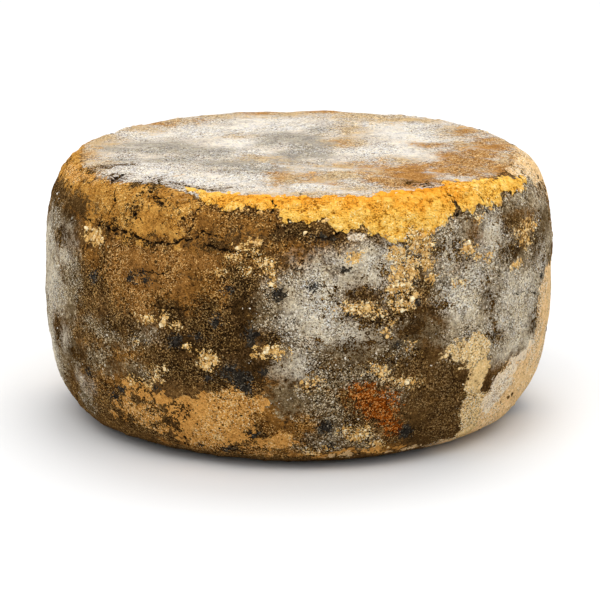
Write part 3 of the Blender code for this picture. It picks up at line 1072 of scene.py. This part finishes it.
# Each kind of crumb: where it lies, how many on a square metre, the gap between them
# in mm, how finely its shapes are cut, and its sizes in mm
CRUMBS = {
    "gold_crumbs": {
        "ground": gold_ground, "seed": 5, "thickness": 520000, "gap": 1.1, "fineness": 2,
        "tones": "gold_flecks", "lighter": 0.25,
        "sizes": {"Smallest": 0.8, "Largest": 2.2, "Height share": 0.7},
    },
    "mould_tufts": {
        "ground": tuft_ground, "seed": 11, "thickness": 110000, "gap": 1.3, "fineness": 1,
        "tones": "white_bloom", "lighter": 0.1,
        "sizes": {"Smallest": 0.5, "Largest": 1.3, "Height share": 0.8},
    },
    "dark_crumbs": {
        "ground": dark_ground, "seed": 17, "thickness": 40000, "gap": 1.6, "fineness": 2,
        "tones": "dark_mould", "lighter": 0.0,
        "sizes": {"Smallest": 0.6, "Largest": 1.8, "Height share": 0.45},
    },
}
CRUMB_ROUNDNESS = 0.25
CRUMB_ROUGHNESS = 0.85
WIDTH_CHANCE = (0.75, 1.35)  # its width and depth, as shares of its size
MOSTLY_SMALL = 2.0  # the power that keeps most crumbs small

SPOT_FINENESS = 3
SPOT_ROUNDNESS = 0.6
SPOT_LIGHTER = 0.1
SPOT_ROUGHNESS = 0.7
SPOT_SEED = 3
SPOT_SHAPE_SEED = 23
SPOT_SHARE = 0.8  # of its patch's half width
SPOT_WIDEST = 2.5  # mm
SPOT_HEIGHT = 0.5  # mm


def crumb_size(tree, given, seed):
    """Mostly small crumbs and a few large ones, each a little longer one way."""
    spread = given["Largest"] - given["Smallest"]
    across = (chance(tree, 0.0, 1.0, seed + 2) ** MOSTLY_SMALL * spread + given["Smallest"]) * MM
    wide = across * chance(tree, *WIDTH_CHANCE, seed + 3)
    deep = across * chance(tree, *WIDTH_CHANCE, seed + 4)
    return vector_of(tree, wide, deep, across * given["Height share"])


def scattered_tree(kind, crumb):
    """Strews one kind of crumb over its ground on the rind. Its sizes are in mm."""
    tree, given = new_geometry_tree(kind, crumb["sizes"])
    seed = crumb["seed"]
    inputs = {
        "Mesh": given["Geometry"],
        "Distance Min": crumb["gap"] * MM,
        "Density Max": crumb["thickness"],
        "Density Factor": crumb["ground"](tree, painted(tree, "turned_place", "FLOAT_VECTOR")),
        "Seed": seed,
    }
    strewn = add_node(tree, "GeometryNodeDistributePointsOnFaces", inputs, distribute_method="POISSON")
    points, turn = Field(strewn.outputs["Points"]), Field(strewn.outputs["Rotation"])
    shapes = crumb_shapes(tree, crumb["fineness"], CRUMB_ROUNDNESS)
    crumbs = set_crumbs(points, shapes, turn, crumb_size(tree, given, seed), seed + 5)
    spin = vector_of(tree, z=chance(tree, 0.0, math.tau, seed + 7))
    inputs = {"Instances": crumbs, "Rotation": spin}
    return finish_tree(field(tree, "GeometryNodeRotateInstances", inputs), given)


def spot_seeds(rind, places):
    """A point for each spot of mould, with the way it faces and its size in mm."""
    front = SIDE_PATCHES["blue_mould"]
    seeds = bpy.data.meshes.new("spot_seeds")
    corners, facing, spread = [], [], []
    for bearing, climb, half_width, half_height in [*front, *round_the_back(front, SPOT_SEED)]:
        nearest = np.hypot(places.beside(bearing), places.above(climb)).argmin()
        corner = rind.data.vertices[int(nearest)]
        corners.append(corner.co)
        facing.extend(corner.normal)
        across = SPOT_SHARE * min(half_width * ROUND_MM, half_height * CLIMB_MM, SPOT_WIDEST)
        spread.extend((across, across, SPOT_HEIGHT))
    seeds.from_pydata(corners, [], [])
    seeds.attributes.new("facing", "FLOAT_VECTOR", "POINT").data.foreach_set("vector", facing)
    seeds.attributes.new("spread", "FLOAT_VECTOR", "POINT").data.foreach_set("vector", spread)
    return seeds


def mould_spots_tree(sizes):
    """Sets a low dome on each seed."""
    tree, given = new_geometry_tree("mould spots", sizes)
    inputs = {"Vector": painted(tree, "facing", "FLOAT_VECTOR")}
    turn = field(tree, "FunctionNodeAlignRotationToVector", inputs, axis="Z")
    inputs = {0: painted(tree, "spread", "FLOAT_VECTOR"), "Scale": given["Size share"] * MM}
    size = field(tree, "ShaderNodeVectorMath", inputs, operation="SCALE")
    shapes = crumb_shapes(tree, SPOT_FINENESS, SPOT_ROUNDNESS)
    spots = set_crumbs(given["Geometry"], shapes, turn, size, SPOT_SHAPE_SEED)
    return finish_tree(spots, given)


# ---------------------------------------------------------------- the rind's finish


def tone_ramp(grain, kind):
    """The finish's colour at a grain value, from its darkest tone to its lightest."""
    node = add_node(grain.tree, "ShaderNodeValToRGB", {"Fac": grain})
    stops = node.color_ramp.elements
    while len(stops) < len(TONE_STOPS):
        stops.new(0.5)
    for stop, at, tone in zip(stops, TONE_STOPS, TONES[kind]):
        stop.position = at
        stop.color = linear(*tone)
    return Field(node.outputs[0])


def lay_over(below, above, cover, blend="MIX"):
    """One colour laid over another where the cover is 1."""
    inputs = {"Factor": cover, 6: below, 7: above}
    return field(below.tree, "ShaderNodeMix", inputs, 2, data_type="RGBA", blend_type=blend)


def specks(place, size, shift):
    """Three random values from 0 to 1 for each speck of about this size in mm."""
    inputs = {"Vector": elsewhere(place, shift), "Scale": 1 / (size * MM)}
    cells = field(place.tree, "ShaderNodeTexVoronoi", inputs, "Color")
    split = add_node(place.tree, "ShaderNodeSeparateColor", {"Color": cells})
    return [Field(split.outputs[part]) for part in ("Red", "Green", "Blue")]


def sparser(value):
    """Pulls most values of 0 to 1 in towards a half and leaves only the far ones out."""
    off = value * 2.0 - 1.0
    return off * off * off * 0.5 + 0.5


HARSHNESS_SPREAD = 0.8  # how far to either side of 0 a slow noise goes as specks grow harsher
LEAST_HARSH = 0.35
HARSHER_BY = 1.3


class Grain:
    """The rind's grain, from coarse lumps to fine specks, harsher in some places than in others."""

    def __init__(self, place):
        self.tree = place.tree
        self.place = place
        self.lumps = wobble(place, *NOISES["grain lumps"])
        self.clumps = wobble(place, *NOISES["grain clumps"])
        self.grits = [sparser(speck) for speck in specks(place, *GRITS)]
        self.dust = [sparser(speck) for speck in specks(place, *DUST)]
        self.knobs = crust_knobs(place)
        slow = wobble(place, *NOISES["harshness"])
        self.harshness = ramp(slow, -HARSHNESS_SPREAD, HARSHNESS_SPREAD) * HARSHER_BY + LEAST_HARSH

    def mix(self, lumps, clumps, grits, dust, channel=0):
        """A value round a half that each size of grain moves by its own share."""
        spots = self.grits[channel] * grits - (grits + dust) / 2
        spots = self.dust[channel] * dust + spots
        return spots * self.harshness + (self.clumps * clumps + (self.lumps * lumps + 0.5))


# How much each size of grain moves a finish's tones: lumps, clumps, grits, dust
TONE_GRAINS = {
    "coarse": (0.10, 0.10, 0.33, 1.9),
    "fine": (0.11, 0.10, 0.25, 2.05),
    "soft": (0.11, 0.10, 0.24, 2.05),
    "sandy": (0.11, 0.10, 0.25, 1.0),
    "smooth": (0.07, 0.12, 0.25, 0.65),
}
GROWTH_GRIT = (0.15, 0.5, 0.2, 0.8)
FILM_GRIT = (0.3, 0.3, 0.3, 0.4)
WARMTH_GRAIN = (0.14, 0.14, 0.4, 0.3)
BUMP_GRAIN = (0.3, 0.4, 0.2, 0.4)

GROWTH_ROUGHNESS = 0.8  # of the noise that moves a growth's border

# How each soft growth's border breaks up: the size of its widest lumps in mm,
# how far they and the grain move the border, the softness in mm, and the noise's shift
GROWTHS = {
    "ochre_stain": (18.0, 3.0, 7.0, 1.2, 20.0),
    "ash_mould": (15.0, 3.0, 4.4, 3.0, 27.0),
    "dark_mould": (11.0, 3.0, 7.0, 0.9, 21.0),
    "grey_mould": (16.0, 3.5, 2.6, 6.0, 22.0),
    "white_bloom": (12.0, 3.0, 2.2, 8.0, 23.0),
    "rust": (8.0, 1.5, 4.5, 0.9, 24.0),
    "gold_flecks": (5.0, 0.8, 3.0, 0.3, 26.0),
    "brown_mould": (12.0, 2.5, 5.0, 1.5, 28.0),
    "blue_mould": (5.0, 0.6, 2.4, 0.5, 29.0),
}

# The film on the top is greyed and toasted in patches: what is painted there, its
# tones, how far lumps and grain move its border, its softness in mm, the noise's shift
FILM_LUMPS = 26.0  # mm
FILM_NOISE = {"detail": 5.0, "roughness": 0.75}
FILM_PATCHES = (
    ("white_bloom", "white_film", 5.0, 4.0, 6.0, 23.5),
    ("grey_mould", "grey_film", 5.0, 4.0, 6.0, 22.5),
    ("tan_film", "tan_film", 5.0, 5.0, 8.0, 24.5),
    ("toasted", "toasted", 4.5, 6.0, 6.0, 25.5),
)


def growth_cover(grain, kind, channel):
    size, lobes, crumbs, softness, shift = GROWTHS[kind]
    edge = wobble(grain.place, size, shift, roughness=GROWTH_ROUGHNESS) * lobes
    grit = grain.mix(*GROWTH_GRIT, channel) - 0.5
    return ragged(painted(grain.tree, kind), grit * crumbs + edge, softness)


def lay_growths(grain, colour, tones, *kinds):
    """Lays soft growths over a colour, one after another."""
    for turn, kind in enumerate(kinds):
        cover = growth_cover(grain, kind, channel=1 + turn % 2)
        colour = lay_over(colour, tone_ramp(tones, kind), cover)
    return colour


def lay_crusts(grain, colour, tones, *kinds, knobs=None):
    """Lays crisp-edged patches over a colour, one after another."""
    for kind in kinds:
        cover = border_cover(grain.place, kind, knobs)
        colour = lay_over(colour, tone_ramp(tones, kind), cover)
    return colour


CREASE_SHADE_BELOW = 0.45  # the height of the knobs below which a crust gets painted shade, in its creases
KNOB_HIGHLIGHT = 0.1  # and how much painted highlight their tops may get above that


def knob_shaded(grain, tones, depth):
    """The tones, with painted shade in the creases between a crust's knobs and a little painted highlight
    on their tops.
    """
    return maths("MINIMUM", grain.knobs - CREASE_SHADE_BELOW, KNOB_HIGHLIGHT) * depth + tones


def film_colour(grain, tones):
    """The film of mould on the top."""
    colour = tone_ramp(tones, "top_film")
    grit = grain.mix(*FILM_GRIT, 1) - 0.5
    for kind, tone, lobes, crumbs, softness, shift in FILM_PATCHES:
        edge = wobble(grain.place, FILM_LUMPS, shift, **FILM_NOISE) * lobes
        cover = ragged(painted(grain.tree, kind), grit * crumbs + edge, softness)
        colour = lay_over(colour, tone_ramp(tones, tone), cover)
    return colour


UNDERCUT_REACH = 1.4  # mm below the golden crust's edge that its painted shade reaches
UNDERCUT_GAPS = (-0.2, 0.6)  # the noise over which it sets in
UNDERCUT_CLIMB = (97.0, 94.0)  # and the climb down which it does


def undercut_shade(grain, colour, tones):
    """Painted shade: a dark gap here and there under the golden crust's edge, in the dark mould's tones,
    where the crust's overhang shades the rind.
    """
    near = border_cover(grain.place, "golden_crust", grain.knobs, wider=UNDERCUT_REACH)
    here = ramp(wobble(grain.place, *NOISES["undercut_shade"]), *UNDERCUT_GAPS)
    below = ramp(painted(grain.tree, "climb"), *UNDERCUT_CLIMB)
    return lay_over(colour, tone_ramp(tones, "dark_mould"), near * here * below)


DEEPER_CLIMB = (84.0, 96.0)  # the climb over which the golden crust grows deeper in colour
DEEPER_WAVER = 3.0  # how much lumps of grain move that
DEEPER_INSIDE = (-10.0, 4.0)  # mm inside the patches of glow over which it does


def golden_crust(grain, colour, tones):
    """The golden crust, deeper in colour towards its upper edge."""
    high = grain.lumps * DEEPER_WAVER + painted(grain.tree, "climb")
    deeper = ramp(high, *DEEPER_CLIMB) * ramp(painted(grain.tree, "orange_glow"), *DEEPER_INSIDE)
    golden = lay_over(tone_ramp(tones, "golden_crust"), tone_ramp(tones, "orange_crust"), deeper)
    return lay_over(colour, golden, border_cover(grain.place, "golden_crust", grain.knobs))


def two_tones(value, low, low_tone, high, high_tone):
    """A tint that goes from one tone to another as the value rises."""
    tint = add_node(value.tree, "ShaderNodeValToRGB", {"Fac": value})
    first, last = tint.color_ramp.elements
    first.position, last.position = low, high
    first.color, last.color = (*low_tone, 1), (*high_tone, 1)
    return Field(tint.outputs[0])


# What the whole rind's colour is multiplied by: the value at which each tint starts
# and its tone there, then the value at which it ends and its tone there
WARMTH_TINT = (0.1, (0.96, 1.0, 1.07), 0.9, (1.07, 1.0, 0.82))
# the pit tint is painted shade in the pinholes
PIT_SHADE_TINT = (0.84, (1, 1, 1), 0.88, (0.42, 0.36, 0.30))

# How much lumps and dust count beside the grits in a pit, and how much all three do
PIT_LUMPS = 0.05
PIT_DUST = 0.5
PIT_DEPTH = 0.7


def pitted(grain, colour):
    """Dark pinholes, their darkness painted shade, and the colour made warmer or cooler from speck to
    speck.
    """
    warmth = grain.mix(*WARMTH_GRAIN, 2)
    pit_shade = grain.lumps * PIT_LUMPS + (grain.dust[0] * PIT_DUST + grain.grits[2])
    tinted = lay_over(colour, two_tones(warmth, *WARMTH_TINT), 1.0, "MULTIPLY")
    return lay_over(tinted, two_tones(pit_shade * PIT_DEPTH, *PIT_SHADE_TINT), 1.0, "MULTIPLY")


def new_finish(name):
    """A new material, its tree and its shader."""
    material = bpy.data.materials.new(name)
    material.use_nodes = True
    return material, material.node_tree, material.node_tree.nodes["Principled BSDF"]


OCHRE_CREASE_SHADE = 0.45  # how deep the painted shade in the creases of each crust is
GOLDEN_CREASE_SHADE = 0.5
FILM_BORDER_REACH = 1.5  # mm that clumps of grain move the film's own border
FILM_BORDER_SOFTNESS = 1.0  # mm
CRACK_SHADE_FADE = 0.3  # mm: how softly the painted shade inside a crack ends


def rind_colour(grain, tones):
    """Every crust, mould and bare patch of the rind, from the lowest to the highest, and the shade
    painted among them.
    """
    coarse, fine, soft = tones["coarse"], tones["fine"], tones["soft"]
    knobs, smooth = grain.knobs, tones["smooth"]
    colour = tone_ramp(coarse, "umber")
    colour = lay_growths(grain, colour, coarse, "ochre_stain")
    colour = lay_crusts(grain, colour, fine, "brown_crust")
    # painted shade in the ochre crust's creases and painted highlight on its knobs
    crease_shaded = knob_shaded(grain, smooth, OCHRE_CREASE_SHADE)
    colour = lay_crusts(grain, colour, crease_shaded, "ochre_crust", knobs=knobs)
    colour = lay_growths(grain, colour, coarse, "ash_mould")
    colour = lay_growths(grain, colour, fine, "grey_mould")
    colour = lay_growths(grain, colour, soft, "white_bloom")
    colour = lay_crusts(grain, colour, tones["sandy"], "bare_tan")
    colour = lay_crusts(grain, colour, fine, "pale_tan")
    clumps = grain.clumps * FILM_BORDER_REACH
    film = ragged(painted(grain.tree, "top_film"), clumps, FILM_BORDER_SOFTNESS)
    colour = lay_over(colour, film_colour(grain, soft), film)
    # brown mould, and painted shade round the foot
    colour = lay_growths(grain, colour, fine, "brown_mould")
    colour = lay_growths(grain, colour, coarse, "dark_mould", "rust", "blue_mould")
    colour = lay_crusts(grain, colour, fine, "cream_patch", "pink_bloom")
    # painted shade under the golden crust's edge
    colour = undercut_shade(grain, colour, coarse)
    # the golden crust with painted shade in its creases and painted highlight on its knobs
    colour = golden_crust(grain, colour, knob_shaded(grain, smooth, GOLDEN_CREASE_SHADE))
    colour = lay_growths(grain, colour, coarse, "gold_flecks")
    # painted shade inside the cracks
    cracks = crack_cover(grain.place, CRACK_SHADE_FADE)
    colour = lay_over(colour, tone_ramp(coarse, "crack"), cracks)
    # painted shade in the pinholes
    return pitted(grain, colour)


RIND_ROUGHNESS = 0.65  # in its darkest pits
ROUGHER_BY = 0.25  # on its lightest specks
RIND_BUMP = {"Distance": 0.001, "Strength": 0.9}


def rind_finish():
    material, tree, shader = new_finish("natural_rind")
    place = field(tree, "ShaderNodeAttribute", output="Vector", attribute_name="turned_place")
    grain = Grain(place)
    tones = {name: grain.mix(*shares) for name, shares in TONE_GRAINS.items()}
    feed(shader.inputs["Base Color"], rind_colour(grain, tones))
    feed(shader.inputs["Roughness"], tones["coarse"] * ROUGHER_BY + RIND_ROUGHNESS)
    shader.inputs["Specular IOR Level"].default_value = 0.0
    inputs = {"Height": grain.mix(*BUMP_GRAIN), **RIND_BUMP}
    feed(shader.inputs["Normal"], field(tree, "ShaderNodeBump", inputs))
    return material


OWN_TONE = 0.5  # how much each crumb's own tone counts
DUST_TONE = 0.35  # and how much its specks of dust do
CRUMB_BUMP = {"Distance": 0.0003, "Strength": 0.5}


def crumb_finish(name, kind, lighter, roughness):
    """A crumb's finish: its own tone, with fine specks of dust."""
    material, tree, shader = new_finish(name)
    place = field(tree, "ShaderNodeTexCoord", output="Object")
    dust = specks(place, *CRUMB_DUST)[0]
    tone = dust * DUST_TONE + (painted(tree, "tone") * OWN_TONE + lighter)
    feed(shader.inputs["Base Color"], tone_ramp(tone, kind))
    shader.inputs["Roughness"].default_value = roughness
    shader.inputs["Specular IOR Level"].default_value = 0.0
    inputs = {"Height": dust, **CRUMB_BUMP}
    feed(shader.inputs["Normal"], field(tree, "ShaderNodeBump", inputs))
    return material


# ---------------------------------------------------------------- stage

FLOOR_ACROSS = 12
FLOOR_GREY = 0.71
FLOOR_ROUGHNESS = 0.9
SKY_HORIZON = 0.45  # the sky's strength there
SKY_RISE = 0.9  # and how much stronger it is straight up

# The soft lamps: place, width and power
LAMPS = {
    "key": ((-0.6, -1.1, 2.4), 1.6, 18),
    "fill": ((0.9, -0.9, 2.2), 1.4, 11),
    "back": ((0.2, 0.9, 2.4), 1.4, 22),
}

CAMERA_DISTANCE = 10 * WIDEST_RADIUS
CAMERA_RISE = math.radians(14.35)
CAMERA_PIVOT = Vector((0, 0, 0.51 * HEIGHT))
CAMERA_AIM = Vector((0.0004, 0, 0.0547))
SENSOR_WIDTH = 36
LENS = 150.2
SIGHT = 20


def pale_floor():
    bpy.ops.mesh.primitive_plane_add(size=FLOOR_ACROSS)
    floor = bpy.context.object
    floor.name = "floor"
    material, _, shader = new_finish("floor_paper")
    shader.inputs["Base Color"].default_value = (FLOOR_GREY, FLOOR_GREY, FLOOR_GREY, 1)
    shader.inputs["Roughness"].default_value = FLOOR_ROUGHNESS
    floor.data.materials.append(material)


def set_up(name, data, place, aim):
    """Puts a lamp or a camera at its place, turned towards what it looks at."""
    thing = bpy.data.objects.new(name, data)
    thing.location = place
    thing.rotation_euler = (aim - place).to_track_quat("-Z", "Y").to_euler()
    bpy.context.scene.collection.objects.link(thing)
    return thing


def studio_light():
    world = bpy.data.worlds.new("studio")
    world.use_nodes = True
    sky = world.node_tree.nodes["Background"]
    sky.inputs["Color"].default_value = (1, 1, 1, 1)
    towards = field(world.node_tree, "ShaderNodeTexCoord", output="Generated")
    feed(sky.inputs["Strength"], parts_of(towards)[2] * SKY_RISE + SKY_HORIZON)
    bpy.context.scene.world = world
    for name, (place, width, power) in LAMPS.items():
        light = bpy.data.lights.new(name, "AREA")
        light.shape = "DISK"
        light.size = width
        light.energy = power
        set_up(name, light, Vector(place), Vector((0, 0, HEIGHT / 2)))


def camera():
    away = Vector((0, -math.cos(CAMERA_RISE), math.sin(CAMERA_RISE))) * CAMERA_DISTANCE
    data = bpy.data.cameras.new("camera")
    data.lens = LENS
    data.sensor_width = SENSOR_WIDTH
    data.clip_end = SIGHT
    bpy.context.scene.camera = set_up("camera", data, CAMERA_PIVOT + away, CAMERA_AIM)


# ---------------------------------------------------------------- putting it together


def declare(piece):
    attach(piece, "root")


def make_rind():
    sizes = {
        "Widest radius": WIDEST_RADIUS,
        "Height": HEIGHT,
        "Widest ring height": WIDEST_RING_HEIGHT,
        "Top flat radius": TOP_FLAT_RADIUS,
        "Foot flat radius": FOOT_FLAT_RADIUS,
        "Shoulder squareness across": SHOULDER_SQUARENESS[0],
        "Shoulder squareness up": SHOULDER_SQUARENESS[1],
        "Belly squareness across": BELLY_SQUARENESS[0],
        "Belly squareness up": BELLY_SQUARENESS[1],
        "Lean": LEAN,
    }
    finish = rind_finish()
    turned = grow("turned", bpy.data.meshes.new("start"), turned_wheel_tree(sizes), sizes, finish)
    places = paint_rind(turned.data)
    rind = grow("rind", turned.data, weathered_rind_tree(WEATHERING), WEATHERING, finish)
    bpy.data.objects.remove(turned)
    declare(rind)
    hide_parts("cheese_wheel")
    return rind, places


def strew_crumbs(rind):
    for kind, crumb in CRUMBS.items():
        finish = crumb_finish(kind, crumb["tones"], crumb["lighter"], CRUMB_ROUGHNESS)
        tree = scattered_tree(kind, crumb)
        declare(grow(kind, rind.data.copy(), tree, crumb["sizes"], finish))


def set_mould_spots(rind, places):
    sizes = {"Size share": 1.0}
    finish = crumb_finish("blue_black_mould", "blue_mould", SPOT_LIGHTER, SPOT_ROUGHNESS)
    declare(grow("mould_spots", spot_seeds(rind, places), mould_spots_tree(sizes), sizes, finish))


camera()
studio_light()
pale_floor()
rind, places = make_rind()
strew_crumbs(rind)
set_mould_spots(rind, places)
bpy.context.scene.view_settings.view_transform = "Standard"
